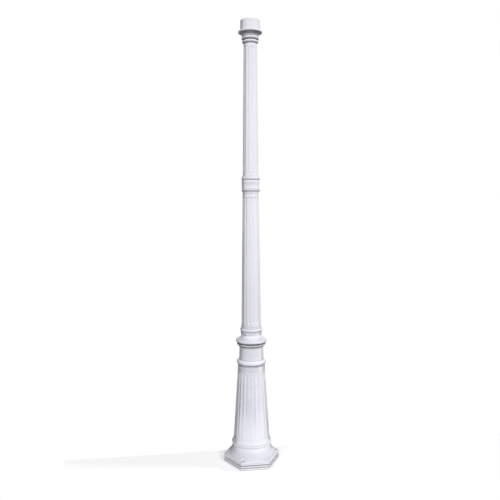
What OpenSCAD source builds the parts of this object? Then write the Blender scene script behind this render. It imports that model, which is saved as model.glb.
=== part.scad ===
// Decorative cast aluminium lamp post, without its lantern: a hexagonal foot, a fluted
// column, two tapered fluted shafts joined by a ringed coupling, and a round post-top fitter.
// Millimetres, +Z up. The origin is at the centre of the foot's underside, on the ground.
// The hexagon has two of its corners on the X axis, so a flat face looks along -Y.

/* [Overall] */
// Height from the ground to the top of the fitter
post_h = 1727.2; // [1500:0.1:2200]
// Width of the foot across its corners
foot_w = 228.6; // [210:0.1:320]

/* [Foot] */
// Height of the foot slab, up to the ledge
foot_h = 25; // [18:0.5:40]
// Height of the lowest band of the slab
foot_band_h = 8.5; // [6:0.5:12]
// Height of the middle band of the slab
foot_step_h = 7.5; // [5:0.5:9]
// How far each band stands inside the one below it
foot_inset = 1.5; // [1:0.5:4]
// Height of the shadow groove over the lowest band
foot_groove_h = 2.2; // [1:0.1:3]
// Depth of the shadow groove
foot_groove_d = 2.5; // [1:0.1:3]
// Height of the groove under the slab's lip
lip_groove_h = 3.5; // [1:0.1:4]
// Depth of the groove under the lip
lip_groove_d = 3.5; // [1:0.1:4]
// Height of the undercut along the slab's bottom edge
foot_undercut_h = 2.5; // [1:0.1:3]
// Depth of that undercut
foot_undercut_d = 2.5; // [1:0.1:3]
// Thickness of the slab's top, which the anchor bolts hold down
ledge_wall = 8; // [6:0.5:12]
// Thickness of the slab's rim
rim_wall = 5.5; // [4:0.5:8]
// Diameter of the anchor bolt holes
anchor_d = 10; // [8:0.5:11]
// Distance from an anchor hole's edge to the inside of the slab's rim
anchor_gap = 0.6; // [0.5:0.1:4]
// Diameter of the spot face round each anchor hole
spot_d = 17; // [14:0.5:19]
// Height of the spot faces over the slab
spot_z = 4; // [2:0.5:8]

/* [Bell] */
// Height of the bell, from the ledge to the base ring
bell_h = 50; // [40:0.5:70]
// How far the bell's cove spreads out from its top
bell_spread = 15; // [8:0.5:20]
// Height over the slab at which the cove ends in a small step
tail_z = 14; // [8:0.5:20]
// Height of that step
tail_step = 1.5; // [0.5:0.5:4]
// Height over the slab of the bell's tail at the corners of the slab
tail_end_z = 4.5; // [2:0.5:12]
// How far the bell's top stands out from the column's foot
bell_top_proud = 4.8; // [3:0.1:8]
// Thickness of the bell's wall
bell_wall = 6; // [5:0.5:8]

/* [Column] */
// Diameter of the column at the start of its flutes
column_foot_d = 142.5; // [130:0.5:175]
// Diameter of the column at its top
column_top_d = 108.7; // [105:0.5:135]
// Height of the ring between the bell and the column
base_ring_h = 11; // [7:0.5:16]
// How far the base ring stands out from the top of the bell
base_ring_proud = 3; // [2:0.5:5]
// Height of the smooth curved foot of the column
flare_h = 24; // [16:0.5:40]
// How far the curved foot spreads
flare_spread = 5.5; // [2:0.5:6]
// Height of the fluted cone of the column
column_h = 264; // [200:1:320]
// Height of the plain band above the column's flutes
column_band_h = 20.5; // [15:0.5:40]
// Number of flutes round the column
column_flutes = 24; // [18:1:26]
// Depth of the column's flutes
column_flute_d = 1.8; // [1.2:0.1:3]
// Width of the flat between two of the column's flutes at its foot
column_land = 3.6; // [2:0.1:6]

/* [Neck and collar] */
// Height of the bead on top of the column
bead_h = 24.5; // [16:0.5:30]
// How far the bead stands out from the column's top
bead_proud = 4.1; // [2:0.1:6]
// Height of the groove under a bead
bead_groove_h = 3.5; // [2:0.5:5]
// Depth of that groove from the face below it
bead_groove_d = 3; // [1:0.5:4]
// Diameter of the neck at its foot
neck_foot_d = 97; // [90:0.5:104]
// Diameter of the neck at its top
neck_top_d = 94; // [88:0.5:104]
// Height of the neck
neck_h = 50; // [35:0.5:70]
// Height of the fillet on top of the neck
ovolo_fillet_h = 2; // [2:0.5:9]
// How far the fillet stands out from the neck
ovolo_fillet_proud = 2; // [1:0.1:3]
// Height of the groove between the fillet and the curved moulding
ovolo_groove_h = 3; // [3:0.5:10]
// Height of the curved moulding under the collar
ovolo_h = 9; // [5:0.5:12]
// How far that moulding stands out from the neck
ovolo_proud = 10.5; // [6:0.5:14]
// Height of the collar's rounded lip
collar_h = 10; // [10:0.5:26]
// How far the lip stands out from the moulding under it
collar_proud = 3.6; // [2:0.1:6]
// Height of the recess between the moulding and the collar's lip
collar_recess_h = 7; // [3:0.5:8]
// Depth of that recess from the moulding's edge
collar_recess_d = 6; // [2:0.5:6]
// Radius of the collar's rounded face
collar_round = 14; // [12:1:60]
// Height of the sloping shoulder over the collar
shoulder_h = 8; // [5:0.5:12]

/* [Socket] */
// Height of the hollow curve over the shoulder
scotia_h = 20.5; // [10:0.5:22]
// Depth of that hollow curve
scotia_d = 2.2; // [1:0.1:3]
// Height of the bead round the socket
socket_bead_h = 16; // [8:0.5:18]
// How far that bead stands out
socket_bead_proud = 3.6; // [2.5:0.1:6]
// Height of the plain band on top of the socket
socket_band_h = 6; // [6:0.5:16]
// Wall of the socket round the shaft's tail
socket_wall = 5.2; // [4:0.1:7]
// Diameter of the set screws in the socket
set_screw_d = 6; // [4:0.5:6]
// Direction of the first set screw, in degrees from +X
set_screw_turn = -135; // [-180:5:180]

/* [Shafts] */
// Diameter of the lower shaft at its foot
lower_foot_d = 77; // [72:0.5:94]
// Diameter of the lower shaft at its top
lower_top_d = 63.5; // [60:0.5:78]
// Height of the lower shaft between its rings
lower_shaft_h = 523; // [400:1:650]
// Diameter of the upper shaft at its foot
upper_foot_d = 61.5; // [58:0.5:76]
// Diameter of the upper shaft at its top
upper_top_d = 51; // [48:0.5:62]
// Wall of both shafts, outside their flutes
shaft_wall = 5.5; // [4.5:0.1:6]
// Number of flutes round the lower shaft
lower_flutes = 16; // [12:1:18]
// Number of flutes round the upper shaft
upper_flutes = 12; // [10:1:14]
// Depth of the shafts' flutes
shaft_flute_d = 1.4; // [1:0.1:2.2]
// Width of the flat between two of a shaft's flutes at its foot
shaft_land = 3; // [2:0.1:5]
// Plain length at each end of a shaft, before its flutes
shaft_plain = 12; // [8:0.5:30]

/* [Middle coupling] */
// Height of the sleeve below the coupling's lower ring
mid_foot_h = 10; // [6:0.5:14]
// How far the sleeve's top stands out from the shafts
mid_foot_proud = 1; // [0.5:0.1:2]
// Height of the coupling's lower ring
mid_ring_h = 8.5; // [6:0.5:14]
// How far the lower ring stands out from the shafts
mid_ring_proud = 4.8; // [3:0.1:8]
// Height of the coupling's waisted body
mid_waist_h = 24.5; // [16:0.5:40]
// Depth of its waist
mid_waist_d = 0.8; // [0.4:0.1:3]
// Height of the band over the waist
mid_band_h = 10.5; // [8:0.5:20]
// How far the body and its band stand out from the shafts
mid_band_proud = 3.4; // [2:0.1:6]
// Height of the coupling's upper ring
mid_top_h = 14; // [8:0.5:16]
// How far the upper ring stands out from the shafts
mid_top_proud = 4.1; // [3:0.1:8]
// How full the upper ring is: 1 is half round, less is flatter
mid_top_fullness = 0.35; // [0.2:0.05:0.9]

/* [Capital and fitter] */
// Height of the capital's lower ring
cap_ring_h = 13; // [8:0.5:16]
// How far the lower ring stands out from the upper shaft's top
cap_ring_proud = 5.5; // [4:0.1:9]
// Height of the capital's upper ring
cap_bead_h = 14; // [10:0.5:18]
// How far the upper ring stands out from the upper shaft's top
cap_bead_proud = 8.2; // [6:0.1:12]
// Height of the throat under the flange
throat_h = 4.5; // [2:0.5:12]
// How far the throat stands out from the upper shaft's top
throat_proud = 5.8; // [4:0.1:9]
// Height of the flange's slanting underside
flange_bevel_h = 8; // [6:0.5:14]
// Height of the flange's upright lip
flange_lip_h = 5.5; // [3:0.5:12]
// How far the flange stands out from the fitter
flange_proud = 7.8; // [4:0.1:9]
// Outside diameter of the fitter
fitter_d = 76.2; // [70:0.1:92]
// Height of the fitter
fitter_h = 40; // [28:0.5:60]
// Wall of the fitter
fitter_wall = 4.2; // [3:0.1:6]
// Rounding of the fitter's top edge
fitter_edge = 1.2; // [0.5:0.1:1.5]

/* [Walls and fits] */
// How full the ring on the bell is: 1 is half round, less is flatter
base_fullness = 0.6; // [0.4:0.05:0.9]
// How full the coupling's lower ring and the capital's rings are
ring_fullness = 0.85; // [0.5:0.05:0.95]
// How full the bead on top of the column is
column_bead_fullness = 0.85; // [0.5:0.05:0.95]
// How full the bead round the socket is
socket_bead_fullness = 0.75; // [0.4:0.05:0.9]
// Wall of the column and the neck, outside the flutes
cast_wall = 7; // [6:0.1:9]
// Play between a shaft's spigot and the bore round it, across the diameter
fit_play = 0.5; // [0.3:0.1:0.8]
// Step from a shaft's face down to its spigot
spigot_step = 3.3; // [2.5:0.1:4]
// Thickness of a spigot
spigot_wall = 3.2; // [2.5:0.1:4]
// Height of the web that joins a spigot in the coupling to its shaft
spigot_web = 6; // [3:0.5:10]

/* [Hidden] */
$fn = 96;

paint = "whitesmoke";
steel = "silver";

// Heights at which one piece ends and the next one begins, from the ground up.
z_ledge = foot_h;
z_ring = z_ledge + bell_h;
z_flare = z_ring + base_ring_h;
z_column = z_flare + flare_h;
z_band = z_column + column_h;
z_bead = z_band + column_band_h;
z_neck = z_bead + bead_h;
z_ovolo = z_neck + neck_h;
z_collar = z_ovolo + ovolo_fillet_h + ovolo_groove_h + ovolo_h;
z_shoulder = z_collar + collar_recess_h + collar_h;
z_scotia = z_shoulder + shoulder_h;
z_socket_bead = z_scotia + scotia_h;
z_socket_band = z_socket_bead + socket_bead_h;
z_lower = z_socket_band + socket_band_h;
z_mid = z_lower + lower_shaft_h;
z_mid_ring = z_mid + mid_foot_h;
z_waist = z_mid_ring + mid_ring_h;
z_mid_band = z_waist + mid_waist_h;
z_mid_top = z_mid_band + mid_band_h;
z_upper = z_mid_top + mid_top_h;
z_fitter = post_h - fitter_h;
z_lip = z_fitter - flange_lip_h;
z_flange = z_lip - flange_bevel_h;
z_throat = z_flange - throat_h;
z_cap_bead = z_throat - cap_bead_h;
z_cap_ring = z_cap_bead - cap_ring_h;
upper_shaft_h = z_cap_ring - z_upper;

// Radii that more than one piece uses.
foot_r = foot_w / 2;
ledge_r = foot_r - 2 * foot_inset;
column_r = column_foot_d / 2;
column_top_r = column_top_d / 2;
bell_top_r = column_r + bell_top_proud;
ring_r = bell_top_r + base_ring_proud;
hollow_r = ledge_r - rim_wall / cos(30);
anchor_r = hollow_r - (anchor_gap + anchor_d / 2) / cos(30);
bell_bore_r = anchor_r - spot_d / 2 - bell_wall;
lower_r = lower_foot_d / 2;
lower_top_r = lower_top_d / 2;
upper_r = upper_foot_d / 2;
upper_top_r = upper_top_d / 2;
play = fit_play / 2;
tail_r = lower_r - spigot_step;
socket_r = tail_r + play + socket_wall;
neck_top_r = neck_top_d / 2;
collar_r = neck_top_r + ovolo_proud + collar_proud;
mid_r = max(lower_top_r, upper_r);
mid_spigot_r = min(lower_top_r, upper_r) - spigot_step;
cap_spigot_r = upper_top_r - spigot_step;
fitter_r = fitter_d / 2;
flange_r = fitter_r + flange_proud;
throat_r = upper_top_r + throat_proud;

// Half the clear space between the ends of two spigots that meet inside a coupling.
spigot_gap = 2;
// How far a cut runs past the face that it opens.
cut = 1;

// ---- Outlines, drawn in the plane that is turned about the post's axis ----

// A plain ring wall between two radii and two heights.
module wall_outline(r_in, r_out, z0, z1) {
    translate([r_in, z0]) square([r_out - r_in, z1 - z0]);
}

// A wall whose outside runs straight from one radius to another.
module cone_outline(r_in0, r_in1, r0, r1, z0, z1) {
    polygon([[r_in0, z0], [r0, z0], [r1, z1], [r_in1, z1]]);
}

// A wall with a rounded bead all over its outside, whose crest is at radius r.
module bead_outline(r_in, r, z0, z1, fullness) {
    half = (z1 - z0) / 2;
    proud = half * fullness;
    round_r = (half * half + proud * proud) / (2 * proud);
    intersection() {
        wall_outline(r_in, r, z0, z1);
        union() {
            wall_outline(r_in, r - proud, z0, z1);
            translate([r - round_r, z0 + half]) circle(r = round_r);
        }
    }
}

// A wall with a hollow curve of the given depth all over its outside.
module scotia_outline(r_in, r, depth, z0, z1) {
    half = (z1 - z0) / 2;
    round_r = (half * half + depth * depth) / (2 * depth);
    difference() {
        wall_outline(r_in, r, z0, z1);
        translate([r - depth + round_r, z0 + half]) circle(r = round_r);
    }
}

module turned(c = paint) {
    color(c) rotate_extrude() children();
}

module hexagon(r) {
    circle(r = r, $fn = 6);
}

// ---- Flutes ----

// Radius of the round cutter that leaves a flute of the given width and depth.
function cutter_r(w, depth) = (w * w / 4 + depth * depth) / (2 * depth);

// Width of a flute at a radius, when its pitch narrows with the cone.
function flute_w(r, count, land, r_foot) = (2 * PI * r_foot / count - land) * r / r_foot;

// One flute with round ends, up a cone that runs from r0 at z0 to r1 at z1.
module flute(r0, r1, z0, z1, w0, w1, depth) {
    c0 = cutter_r(w0, depth);
    c1 = cutter_r(w1, depth);
    a0 = r0 + c0 - depth;
    a1 = r1 + c1 - depth;
    run = z1 - z0;
    lean = atan((a0 - a1) / run);
    length = norm([a0 - a1, run]);
    translate([a0, 0, z0]) rotate([0, -lean, 0]) rotate_extrude() {
        polygon([[0, 0], [c0, 0], [c1, length], [0, length]]);
        intersection() {
            circle(r = c0);
            translate([0, -2 * c0]) square([2 * c0, 2 * c0]);
        }
        translate([0, length]) intersection() {
            circle(r = c1);
            square([2 * c1, 2 * c1]);
        }
    }
}

// All the flutes of a cone. r_foot and r_top are its radii at z_foot and z_top.
module flutes(count, r_foot, r_top, z_foot, z_top, plain, land, depth) {
    slope = (r_top - r_foot) / (z_top - z_foot);
    z0 = z_foot + plain;
    z1 = z_top - plain;
    r0 = r_foot + slope * plain;
    r1 = r_top - slope * plain;
    w0 = flute_w(r0, count, land, r_foot);
    w1 = flute_w(r1, count, land, r_foot);
    for (i = [0:count - 1])
        rotate(i * 360 / count)
            flute(r0, r1, z0 + w0 / 2, z1 - w1 / 2, w0, w1, depth);
}

// ---- Base ----

// Places a cutter at every second corner of the foot, where an anchor bolt goes down.
module at_anchors() {
    for (a = [-120, 0, 120])
        rotate(a) translate([anchor_r, 0, 0]) children();
}

// The slab: three stepped hexagonal bands with a groove under each of the upper two. It is
// open underneath but for its top, which has an anchor hole in every second corner.
module foot_slab() {
    band_top = foot_band_h + foot_step_h;
    color(paint) difference() {
        union() {
            linear_extrude(foot_band_h) hexagon(foot_r - foot_undercut_d);
            translate([0, 0, foot_undercut_h])
                linear_extrude(foot_band_h - foot_undercut_h) hexagon(foot_r);
            linear_extrude(band_top) hexagon(foot_r - foot_inset - foot_groove_d);
            translate([0, 0, foot_band_h + foot_groove_h])
                linear_extrude(foot_step_h - foot_groove_h) hexagon(foot_r - foot_inset);
            linear_extrude(foot_h) hexagon(ledge_r - lip_groove_d);
            translate([0, 0, band_top + lip_groove_h])
                linear_extrude(foot_h - band_top - lip_groove_h) hexagon(ledge_r);
        }
        translate([0, 0, -cut])
            linear_extrude(foot_h - ledge_wall + cut) hexagon(hollow_r);
        cylinder(r = bell_bore_r - bell_wall, h = foot_h + cut);
        at_anchors() cylinder(d = anchor_d, h = foot_h + cut);
    }
}

// The bell: a hollow casting whose round cove runs out in a tail to the hexagon's corners,
// with a spot face and a hole for each anchor bolt.
module base_bell() {
    cove_h = bell_h - tail_z;
    cove_r = (cove_h * cove_h + bell_spread * bell_spread) / (2 * bell_spread);
    cove_end_r = bell_top_r + bell_spread;
    color(paint) difference() {
        intersection() {
            rotate_extrude() {
                difference() {
                    translate([0, z_ledge]) square([cove_end_r, bell_h]);
                    translate([bell_top_r + cove_r, z_ring]) circle(r = cove_r, $fn = 360);
                }
                polygon([[0, z_ledge], [foot_r, z_ledge], [foot_r, z_ledge + tail_end_z],
                    [cove_end_r, z_ledge + tail_z - tail_step],
                    [0, z_ledge + tail_z - tail_step]]);
            }
            translate([0, 0, z_ledge]) linear_extrude(bell_h) hexagon(ledge_r);
        }
        rotate_extrude() difference() {
            translate([0, z_ledge - cut]) square([bell_bore_r, bell_h + 2 * cut]);
            translate([bell_top_r + cove_r, z_ring])
                circle(r = cove_r + bell_wall, $fn = 360);
        }
        at_anchors() translate([0, 0, z_ledge + spot_z]) cylinder(d = spot_d, h = bell_h);
        at_anchors() translate([0, 0, z_ledge - cut]) cylinder(d = anchor_d, h = bell_h);
    }
}

module base_ring() {
    turned() bead_outline(column_r - cast_wall, ring_r, z_ring, z_flare, base_fullness);
}

// The smooth foot of the column, which spreads to meet the base ring.
module column_flare() {
    round_r = (flare_h * flare_h + flare_spread * flare_spread) / (2 * flare_spread);
    turned() difference() {
        wall_outline(column_r - cast_wall, column_r + flare_spread, z_flare, z_column);
        translate([column_r + round_r, z_column]) circle(r = round_r, $fn = 360);
    }
}

module fluted_column() {
    color(paint) difference() {
        rotate_extrude()
            cone_outline(column_r - cast_wall, column_top_r - cast_wall,
                column_r, column_top_r, z_column, z_band);
        flutes(column_flutes, column_r, column_top_r, z_column, z_band,
            2, column_land, column_flute_d);
    }
}

module column_band() {
    turned() wall_outline(column_top_r - cast_wall, column_top_r, z_band, z_bead);
}

// ---- Neck and collar ----

// A full bead over a groove, which leaves a shadow line between it and the column.
module column_bead() {
    turned() {
        wall_outline(neck_foot_d / 2 - cast_wall, column_top_r - bead_groove_d,
            z_bead, z_bead + bead_groove_h);
        bead_outline(neck_foot_d / 2 - cast_wall, column_top_r + bead_proud,
            z_bead + bead_groove_h, z_neck, column_bead_fullness);
    }
}

module neck() {
    turned() cone_outline(neck_foot_d / 2 - cast_wall, neck_top_r - cast_wall,
        neck_foot_d / 2, neck_top_r, z_neck, z_ovolo);
}

// The curved moulding under the collar, with a groove and a fillet below it.
module collar_moulding() {
    r_in = neck_top_r - cast_wall;
    r = neck_top_r + ovolo_proud;
    turned() {
        wall_outline(r_in, neck_top_r + ovolo_fillet_proud, z_ovolo,
            z_ovolo + ovolo_fillet_h);
        wall_outline(r_in, neck_top_r, z_ovolo, z_collar - ovolo_h);
        wall_outline(r_in, r - ovolo_h, z_collar - ovolo_h, z_collar);
        intersection() {
            wall_outline(r_in, r, z_collar - ovolo_h, z_collar);
            translate([r - ovolo_h, z_collar]) circle(r = ovolo_h);
        }
    }
}

// The collar: a rounded lip over a recess. It also closes the neck down to the shaft.
module collar() {
    z_lip0 = z_collar + collar_recess_h;
    recess_r = neck_top_r + ovolo_proud - collar_recess_d;
    turned() {
        wall_outline(tail_r - spigot_wall, recess_r, z_collar, z_shoulder);
        intersection() {
            wall_outline(tail_r - spigot_wall, collar_r, z_lip0, z_shoulder);
            translate([collar_r - collar_round, (z_lip0 + z_shoulder) / 2])
                circle(r = collar_round);
        }
    }
}

// The shoulder slopes in from the collar to the socket.
module collar_shoulder() {
    turned() cone_outline(tail_r + play, tail_r + play, collar_r - collar_proud,
        socket_r + scotia_d, z_shoulder, z_scotia);
}

module socket_scotia() {
    color(paint) difference() {
        rotate_extrude() scotia_outline(tail_r + play, socket_r + scotia_d, scotia_d,
            z_scotia, z_socket_bead);
        at_set_screws() cylinder(d = set_screw_d, h = socket_r + 2 * scotia_d);
    }
}

// Places its children on the lines of the three set screws, +Z pointing outward.
module at_set_screws() {
    for (i = [0:2])
        rotate(set_screw_turn + i * 120)
            translate([0, 0, z_scotia + scotia_h / 2])
                rotate([0, 90, 0]) children();
}

// The set screws, each with its tip by the shaft's tail and a hexagon socket outside.
module set_screws() {
    tip = tail_r + play;
    head = socket_r - 0.6;
    color(steel) at_set_screws() difference() {
        translate([0, 0, tip]) cylinder(d = set_screw_d - 0.2, h = head - tip);
        translate([0, 0, head - 2.5]) cylinder(d = set_screw_d / 2, h = 2.5 + cut, $fn = 6);
    }
}

// The socket's bead also stands over a groove, level with the socket's own wall.
module socket_bead() {
    turned() {
        wall_outline(tail_r + play, socket_r, z_socket_bead, z_socket_bead + bead_groove_h);
        bead_outline(tail_r + play, socket_r + socket_bead_proud,
            z_socket_bead + bead_groove_h, z_socket_band, socket_bead_fullness);
    }
}

module socket_band() {
    turned() wall_outline(tail_r + play, socket_r, z_socket_band, z_lower);
}

// ---- Shafts ----

// The lower shaft, with a plain tail down in the socket and a spigot up in the coupling.
module lower_shaft() {
    color(paint) difference() {
        union() {
            rotate_extrude() cone_outline(lower_r - shaft_wall, lower_top_r - shaft_wall,
                lower_r, lower_top_r, z_lower, z_mid);
            rotate_extrude() wall_outline(tail_r - spigot_wall, tail_r, z_shoulder, z_lower);
            rotate_extrude() wall_outline(mid_spigot_r - spigot_wall, mid_spigot_r,
                z_mid - spigot_web, z_waist + mid_waist_h / 2 - spigot_gap);
            rotate_extrude() wall_outline(mid_spigot_r - spigot_wall,
                lower_top_r - shaft_wall / 2, z_mid - spigot_web, z_mid);
        }
        flutes(lower_flutes, lower_r, lower_top_r, z_lower, z_mid,
            shaft_plain, shaft_land, shaft_flute_d);
    }
}

// The upper shaft, with a spigot down in the coupling and one up through the capital.
module upper_shaft() {
    color(paint) difference() {
        union() {
            rotate_extrude() cone_outline(upper_r - shaft_wall, upper_top_r - shaft_wall,
                upper_r, upper_top_r, z_upper, z_cap_ring);
            rotate_extrude() wall_outline(mid_spigot_r - spigot_wall, mid_spigot_r,
                z_waist + mid_waist_h / 2 + spigot_gap, z_upper + spigot_web);
            rotate_extrude() wall_outline(mid_spigot_r - spigot_wall,
                upper_r - shaft_wall / 2, z_upper, z_upper + spigot_web);
            rotate_extrude() wall_outline(cap_spigot_r - spigot_wall, cap_spigot_r,
                z_cap_ring, z_flange);
        }
        flutes(upper_flutes, upper_r, upper_top_r, z_upper, z_cap_ring,
            shaft_plain, shaft_land, shaft_flute_d);
    }
}

// ---- Middle coupling ----

module coupling_foot() {
    turned() cone_outline(mid_spigot_r + play, mid_spigot_r + play,
        lower_top_r, mid_r + mid_foot_proud, z_mid, z_mid_ring);
}

module coupling_lower_ring() {
    turned() bead_outline(mid_spigot_r + play, mid_r + mid_ring_proud,
        z_mid_ring, z_waist, ring_fullness);
}

module coupling_waist() {
    turned() scotia_outline(mid_spigot_r + play, mid_r + mid_band_proud, mid_waist_d,
        z_waist, z_mid_band);
}

module coupling_band() {
    turned() wall_outline(mid_spigot_r + play, mid_r + mid_band_proud,
        z_mid_band, z_mid_top);
}

module coupling_upper_ring() {
    turned() bead_outline(mid_spigot_r + play, mid_r + mid_top_proud,
        z_mid_top, z_upper, mid_top_fullness);
}

// ---- Capital and fitter ----

module capital_lower_ring() {
    turned() bead_outline(cap_spigot_r + play, upper_top_r + cap_ring_proud,
        z_cap_ring, z_cap_bead, ring_fullness);
}

module capital_upper_ring() {
    turned() bead_outline(cap_spigot_r + play, upper_top_r + cap_bead_proud,
        z_cap_bead, z_throat, ring_fullness);
}

module capital_throat() {
    turned() wall_outline(cap_spigot_r + play, throat_r, z_throat, z_flange);
}

// The flange: a slanting underside, an upright lip, and the seat of the fitter.
module fitter_flange() {
    turned() polygon([[cap_spigot_r - spigot_wall, z_flange], [throat_r, z_flange],
        [flange_r, z_lip], [flange_r, z_fitter], [cap_spigot_r - spigot_wall, z_fitter]]);
}

module fitter_tube() {
    turned() difference() {
        wall_outline(fitter_r - fitter_wall, fitter_r, z_fitter, post_h);
        translate([fitter_r - fitter_edge, post_h - fitter_edge]) difference() {
            square(2 * fitter_edge);
            circle(r = fitter_edge);
        }
    }
}

foot_slab();
base_bell();
base_ring();
column_flare();
fluted_column();
column_band();
column_bead();
neck();
collar_moulding();
collar();
collar_shoulder();
socket_scotia();
socket_bead();
socket_band();
set_screws();
lower_shaft();
coupling_foot();
coupling_lower_ring();
coupling_waist();
coupling_band();
coupling_upper_ring();
upper_shaft();
capital_lower_ring();
capital_upper_ring();
capital_throat();
fitter_flange();
fitter_tube();
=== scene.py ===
"""Looks for the decorative lamp post: paint, steel, studio, camera."""
import math

import bpy
from mathutils import Matrix, Vector

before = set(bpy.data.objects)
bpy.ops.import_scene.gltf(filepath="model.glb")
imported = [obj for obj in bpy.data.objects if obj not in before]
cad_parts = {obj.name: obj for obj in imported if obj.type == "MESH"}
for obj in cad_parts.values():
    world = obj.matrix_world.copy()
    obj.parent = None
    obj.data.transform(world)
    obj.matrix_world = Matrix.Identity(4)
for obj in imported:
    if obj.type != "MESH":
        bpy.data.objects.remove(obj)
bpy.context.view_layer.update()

# ---------------------------------------------------------------- helpers


def node(tree, kind, **inputs):
    """Adds a shader node and sets its named inputs."""
    made = tree.nodes.new(kind)
    for name, value in inputs.items():
        made.inputs[name.replace("_", " ")].default_value = value
    return made


def noise(tree, coords, scale, detail=4.0):
    made = node(tree, "ShaderNodeTexNoise", Scale=scale, Detail=detail, Roughness=0.5)
    tree.links.new(coords, made.inputs["Vector"])
    return made.outputs["Fac"]


def spread(tree, value, low, high, out_low, out_high):
    """Maps a value from one range to another, clamped."""
    made = node(tree, "ShaderNodeMapRange", From_Min=low, From_Max=high,
                To_Min=out_low, To_Max=out_high)
    tree.links.new(value, made.inputs["Value"])
    return made.outputs["Result"]


def combine(tree, operation, first, second):
    """Joins two values with a math operation."""
    made = tree.nodes.new("ShaderNodeMath")
    made.operation = operation
    tree.links.new(first, made.inputs[0])
    tree.links.new(second, made.inputs[1])
    return made.outputs["Value"]


def pick_shader(tree, fac, first, second):
    """Takes the first shader where the factor is 0 and the second where it is 1."""
    made = tree.nodes.new("ShaderNodeMixShader")
    tree.links.new(fac, made.inputs["Fac"])
    tree.links.new(first, made.inputs[1])
    tree.links.new(second, made.inputs[2])
    return made.outputs["Shader"]


def blend_colour(tree, fac, first, second):
    """Mixes two colours; each is an RGBA value or an output."""
    made = tree.nodes.new("ShaderNodeMix")
    made.data_type = "RGBA"
    tree.links.new(fac, made.inputs["Factor"])
    for socket, value in (("A", first), ("B", second)):
        target = [s for s in made.inputs if s.name == socket and s.type == "RGBA"][0]
        if hasattr(value, "is_linked"):
            tree.links.new(value, target)
        else:
            target.default_value = value
    return [s for s in made.outputs if s.type == "RGBA"][0]


def new_material(name):
    made = bpy.data.materials.new(name)
    made.use_nodes = True
    tree = made.node_tree
    tree.nodes.clear()
    out = tree.nodes.new("ShaderNodeOutputMaterial")
    return made, tree, out


def bump(tree, height, strength, distance, normal):
    made = node(tree, "ShaderNodeBump", Strength=strength, Distance=distance)
    tree.links.new(height, made.inputs["Height"])
    tree.links.new(normal, made.inputs["Normal"])
    return made.outputs["Normal"]


# ---------------------------------------------------------------- materials

PAINT_DEEP = (0.80, 0.80, 0.885, 1.0)
PAINT_PALE = (0.84, 0.84, 0.92, 1.0)
# painted shade: a near-black colour laid into grooves and crevices where shade falls
GROOVE_SHADE = (0.09, 0.09, 0.11, 1.0)
# painted shade: darker colours laid on the faces that look up, darker still for the bell
UPFACING_SHADE = (0.76, 0.76, 0.83, 1.0)
BELL_UPFACING_SHADE = (0.66, 0.66, 0.72, 1.0)
STEEL_DEEP = (0.42, 0.42, 0.43, 1.0)
STEEL_PALE = (0.58, 0.58, 0.59, 1.0)
SHADER_SAMPLES = 6


def cavity(tree, reach, low, high):
    """How open a point is to the air round it: 0 deep in a groove, 1 in the open."""
    made = node(tree, "ShaderNodeAmbientOcclusion", Distance=reach)
    made.samples = SHADER_SAMPLES
    return spread(tree, made.outputs["AO"], low, high, 0.0, 1.0)


def white_paint(name, edge, gloss, shade_reach, top_shade):
    """Satin powder coat on cast aluminium: faint colour drift, fine orange peel, a paint
    film that rounds every edge by the given radius, painted shade in the grooves, and
    painted shade on the faces that look up. Lengths are in metres; gloss is the coat's
    IOR."""
    made, tree, out = new_material(name)
    coords = node(tree, "ShaderNodeTexCoord").outputs["Object"]
    shader = node(tree, "ShaderNodeBsdfPrincipled", IOR=1.45, Specular_IOR_Level=0.3,
                  Coat_Weight=1.0, Coat_Roughness=0.16, Coat_IOR=gloss)
    drift = noise(tree, coords, 6.0, 3.0)
    unshaded_tone = blend_colour(tree, spread(tree, drift, 0.35, 0.65, 0.0, 1.0),
                         PAINT_DEEP, PAINT_PALE)
    facing = tree.nodes.new("ShaderNodeSeparateXYZ")
    tree.links.new(node(tree, "ShaderNodeNewGeometry").outputs["Normal"],
                   facing.inputs["Vector"])
    # painted shade: faces that look up are darkened
    looks_up = spread(tree, facing.outputs["Z"], 0.10, 0.40, 0.0, 1.0)
    with_top_shade = blend_colour(tree, looks_up, unshaded_tone, top_shade)
    # painted shade: grooves and crevices go towards near black by how closed in they are
    tone = blend_colour(tree, cavity(tree, shade_reach, 0.30, 0.80), GROOVE_SHADE, with_top_shade)
    tree.links.new(tone, shader.inputs["Base Color"])
    mottle = noise(tree, coords, 45.0)
    tree.links.new(spread(tree, mottle, 0.3, 0.7, 0.40, 0.55), shader.inputs["Roughness"])
    rounded = node(tree, "ShaderNodeBevel", Radius=edge)
    rounded.samples = SHADER_SAMPLES
    cast = noise(tree, coords, 28.0, 3.0)
    peel = noise(tree, coords, 420.0, 2.0)
    rough = bump(tree, cast, 0.25, 0.0015, rounded.outputs["Normal"])
    grain = bump(tree, peel, 0.12, 0.0006, rough)
    tree.links.new(grain, shader.inputs["Normal"])
    tree.links.new(grain, shader.inputs["Coat Normal"])
    tree.links.new(shader.outputs["BSDF"], out.inputs["Surface"])
    return made


def steel():
    made, tree, out = new_material("stainless_steel")
    coords = node(tree, "ShaderNodeTexCoord").outputs["Object"]
    shader = node(tree, "ShaderNodeBsdfPrincipled", Metallic=1.0)
    tone = blend_colour(tree, noise(tree, coords, 300.0), STEEL_DEEP, STEEL_PALE)
    tree.links.new(tone, shader.inputs["Base Color"])
    tree.links.new(spread(tree, noise(tree, coords, 900.0), 0.3, 0.7, 0.25, 0.45),
                   shader.inputs["Roughness"])
    tree.links.new(shader.outputs["BSDF"], out.inputs["Surface"])
    return made


# each copy paints shade into its grooves over the reach given and onto its up-facing faces
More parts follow.
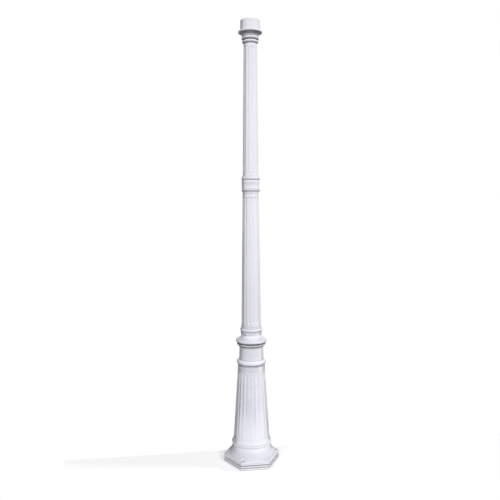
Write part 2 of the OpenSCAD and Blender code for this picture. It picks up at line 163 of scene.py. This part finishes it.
paint = white_paint("white_powder_coat", edge=0.0012, gloss=2.7, shade_reach=0.006,
                    top_shade=UPFACING_SHADE)
# the bell's copy paints a darker shade on the faces that look up; its wider edge rounding
# and lower gloss are its cast finish
bell_paint = white_paint("white_powder_coat_cast_painted_shade", edge=0.004, gloss=1.8,
                         shade_reach=0.006, top_shade=BELL_UPFACING_SHADE)
# the mouldings' copy has a lower gloss and paints its groove shade over a wider reach
moulding_paint = white_paint("white_powder_coat_dull_painted_shade", edge=0.0008, gloss=1.6,
                             shade_reach=0.014, top_shade=UPFACING_SHADE)
hardware = steel()
MOULDINGS = ("column_bead", "collar_moulding", "collar", "socket_bead", "coupling_foot",
             "coupling_lower_ring", "coupling_upper_ring", "capital_lower_ring",
             "capital_upper_ring", "capital_throat", "fitter_flange")
special = {name: moulding_paint for name in MOULDINGS}
special["base_bell"] = bell_paint
special["set_screws"] = hardware
for name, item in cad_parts.items():
    for place in item.material_slots:
        place.material = special.get(name, paint)

# ---------------------------------------------------------------- studio

FLOOR_LOW = (-0.75, -0.7)    # metres, the floor's near left corner
FLOOR_HIGH = (3.0, 0.10)     # its far right corner, just behind the foot
FLOOR_GLOW = 0.43            # with the lamps' light, this shows the floor as white
DARK_WALL = 0.02
CEILING = 0.12
BACK_LIGHT = 1.2
LAMPS = (
    # name, turn and rise in degrees, strength, width in degrees
    ("key", 22, 37, 1.85, 20),
    ("fill", -34, 28, 1.85, 32),
    ("side", 81.5, 24, 1.35, 8),
)


def seen_rays(tree):
    """1 for a ray that shows the surroundings: from the camera, a gloss or a glass."""
    rays = tree.nodes.new("ShaderNodeLightPath")
    seen = combine(tree, "MAXIMUM", rays.outputs["Is Camera Ray"],
                   rays.outputs["Is Glossy Ray"])
    return combine(tree, "MAXIMUM", seen, rays.outputs["Is Transmission Ray"])


def make_floor():
    """A floor that looks white, keeps a faint shadow and throws little light back."""
    data = bpy.data.meshes.new("floor")
    (x0, y0), (x1, y1) = FLOOR_LOW, FLOOR_HIGH
    data.from_pydata([(x0, y0, 0), (x1, y0, 0), (x1, y1, 0), (x0, y1, 0)], [],
                     [(0, 1, 2, 3)])
    item = bpy.data.objects.new("floor", data)
    bpy.context.collection.objects.link(item)
    made, tree, out = new_material("pale_floor")
    dull = node(tree, "ShaderNodeBsdfDiffuse", Color=(0.06, 0.06, 0.06, 1))
    faint = node(tree, "ShaderNodeBsdfDiffuse", Color=(0.60, 0.60, 0.60, 1))
    glow = node(tree, "ShaderNodeEmission", Strength=FLOOR_GLOW)
    pale = tree.nodes.new("ShaderNodeAddShader")
    tree.links.new(faint.outputs["BSDF"], pale.inputs[0])
    tree.links.new(glow.outputs["Emission"], pale.inputs[1])
    both = pick_shader(tree, seen_rays(tree), dull.outputs["BSDF"], pale.outputs["Shader"])
    tree.links.new(both, out.inputs["Surface"])
    data.materials.append(made)


def background(tree, strength):
    """A white background; its strength is a number or an output."""
    made = node(tree, "ShaderNodeBackground", Color=(1, 1, 1, 1))
    if hasattr(strength, "is_linked"):
        tree.links.new(strength, made.inputs["Strength"])
    else:
        made.inputs["Strength"].default_value = strength
    return made.outputs["Background"]


def make_world():
    """White for the camera. Gloss sees a white room with a dark wall at the back left and
    a dim ceiling. The world's own light is dim, but for a soft light from behind."""
    world = bpy.data.worlds.new("studio")
    bpy.context.scene.world = world
    world.use_nodes = True
    tree = world.node_tree
    tree.nodes.clear()
    out = tree.nodes.new("ShaderNodeOutputWorld")
    coords = node(tree, "ShaderNodeTexCoord").outputs["Generated"]
    split = tree.nodes.new("ShaderNodeSeparateXYZ")
    tree.links.new(coords, split.inputs["Vector"])
    x, y, z = (split.outputs[axis] for axis in "XYZ")

    sky = combine(tree, "MULTIPLY", spread(tree, z, 0.0, 0.8, 0.06, 0.09),
                  spread(tree, x, -0.6, 0.4, 0.12, 1.0))
    lit = combine(tree, "MAXIMUM", sky, spread(tree, y, 0.45, 0.95, 0.0, BACK_LIGHT))

    walls = combine(tree, "MAXIMUM", spread(tree, x, -0.18, -0.06, DARK_WALL, 1.0),
                    spread(tree, y, 0.10, 0.36, 1.0, DARK_WALL))
    walls = combine(tree, "MULTIPLY", walls, spread(tree, z, 0.25, 0.55, 1.0, CEILING))
    room = combine(tree, "MAXIMUM", walls, spread(tree, z, 0.25, 0.55, 0.0, CEILING))
    room = combine(tree, "MULTIPLY", room, spread(tree, z, -0.30, -0.02, 0.05, 1.0))

    unseen = pick_shader(tree, seen_rays(tree), background(tree, lit),
                         background(tree, room))
    rays = tree.nodes.new("ShaderNodeLightPath")
    shown = pick_shader(tree, rays.outputs["Is Camera Ray"], unseen, background(tree, 1.0))
    tree.links.new(shown, out.inputs["Surface"])


def soft_sun(name, turn, rise, strength, width):
    """An even light from a direction: turn is measured from -Y, positive to the right."""
    data = bpy.data.lights.new(name, "SUN")
    data.energy, data.angle = strength, math.radians(width)
    item = bpy.data.objects.new(name, data)
    turn, rise = math.radians(turn), math.radians(rise)
    way = -Vector((math.sin(turn) * math.cos(rise), -math.cos(turn) * math.cos(rise),
                   math.sin(rise)))
    item.rotation_euler = way.to_track_quat("-Z", "Y").to_euler()
    item.visible_glossy = False
    bpy.context.collection.objects.link(item)


make_floor()
make_world()
for lamp in LAMPS:
    soft_sun(*lamp)

# ---------------------------------------------------------------- camera

AZIMUTH = math.radians(-8.5)
DISTANCE = 2.15
HEIGHT = 1.01
TILT = math.radians(5)
ROLL = math.radians(-0.2)
SENSOR = 36
LENS = 39.36
SHIFT = (-0.002, 0.0163)

camera_data = bpy.data.cameras.new("camera")
camera_data.sensor_width = SENSOR
camera_data.lens = LENS
camera_data.shift_x, camera_data.shift_y = SHIFT
camera = bpy.data.objects.new("camera", camera_data)
camera.location = (DISTANCE * math.sin(AZIMUTH), -DISTANCE * math.cos(AZIMUTH), HEIGHT)
camera.rotation_mode = "XYZ"
camera.rotation_euler = (math.pi / 2 - TILT, 0, AZIMUTH)
camera.rotation_euler = (camera.rotation_euler.to_matrix()
                         @ Matrix.Rotation(ROLL, 3, "Z")).to_euler()
bpy.context.collection.objects.link(camera)
scene = bpy.context.scene
scene.camera = camera
scene.view_settings.view_transform = "Standard"
